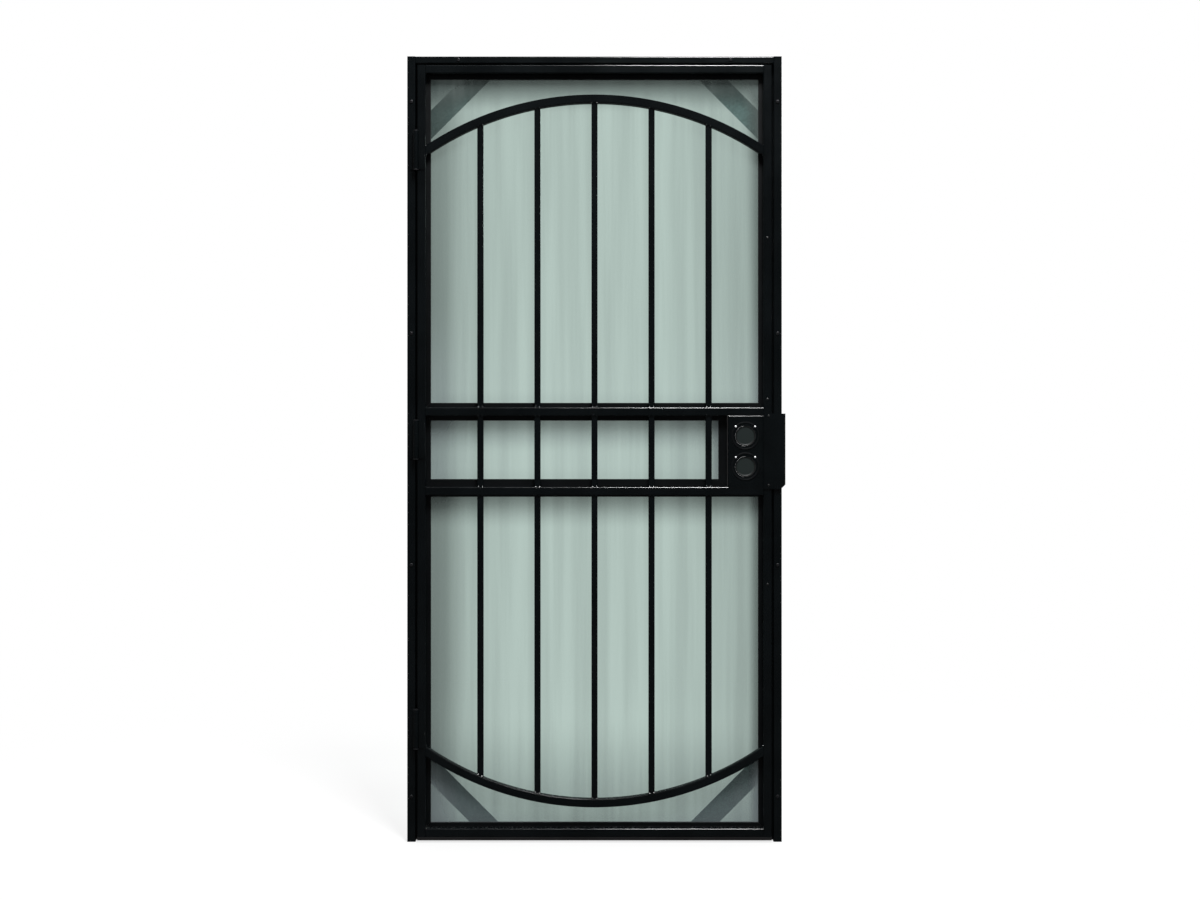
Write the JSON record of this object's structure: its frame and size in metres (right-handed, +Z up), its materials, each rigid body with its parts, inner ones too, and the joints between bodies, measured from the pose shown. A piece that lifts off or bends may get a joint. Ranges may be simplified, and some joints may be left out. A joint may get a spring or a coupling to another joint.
{
  "type": "steel security door with frame",
  "caption": "Outward-opening steel security door with arched grille, framed glass inserts and an empty lock box, hinged in a tube frame screwed round a doorway.",
  "frame": {"origin": "floor level on the back face of the hinge jamb, in the middle of its width, where it meets the wall", "axes": "+X from the hinge side to the lock side, +Y through the doorway into the house, +Z up"},
  "size_m": [0.9991, 0.0595, 2.0765],
  "materials": {
    "powder_coat": "satin black",
    "insert_channel": "satin black",
    "glass": "clear, faint green",
    "zinc_strap": "dull zinc",
    "tube_cap": "matt black",
    "sweep_vinyl": "matt black",
    "hinge_pin": "blackened"
  },
  "bodies": {
    "frame": {"hinge_jamb": "powder_coat", "strike_jamb": "powder_coat", "head_jamb": "powder_coat", "hinge_stop": "powder_coat", "strike_stop": "powder_coat", "head_stop": "powder_coat", "jamb_caps": "tube_cap", "lower_hinge_jamb_half": "powder_coat", "lower_hinge_pin": "hinge_pin", "middle_hinge_jamb_half": "powder_coat", "middle_hinge_pin": "hinge_pin", "upper_hinge_jamb_half": "powder_coat", "upper_hinge_pin": "hinge_pin"},
    "leaf": {"hinge_stile": "powder_coat", "lock_stile": "powder_coat", "stile_caps": "tube_cap", "top_rail": "powder_coat", "bottom_rail": "powder_coat", "upper_mid_rail": "powder_coat", "lower_mid_rail": "powder_coat", "bottom_sweep": "sweep_vinyl", "top_arch": "powder_coat", "bottom_arch": "powder_coat", "bar_1": "powder_coat", "bar_2": "powder_coat", "bar_3": "powder_coat", "bar_4": "powder_coat", "bar_5": "powder_coat", "upper_insert_frame": "insert_channel", "upper_glass": "glass", "middle_insert_frame": "insert_channel", "middle_glass": "glass", "lower_insert_frame": "insert_channel", "lower_glass": "glass", "lower_hinge_side_strap": "zinc_strap", "lower_lock_side_strap": "zinc_strap", "upper_hinge_side_strap": "zinc_strap", "upper_lock_side_strap": "zinc_strap", "lock_box": "powder_coat", "latch_bore_ring": "powder_coat", "deadbolt_bore_ring": "powder_coat", "latch_guard": "powder_coat", "lower_hinge_leaf_half": "powder_coat", "middle_hinge_leaf_half": "powder_coat", "upper_hinge_leaf_half": "powder_coat"}
  },
  "joints": [
    {"name": "leaf_swing", "type": "hinge", "parent": "frame", "child": "leaf", "pos_m": [0.0135, -0.053, 0], "axis": [0, 0, -1], "range_deg": [0, 170]}
  ]
}
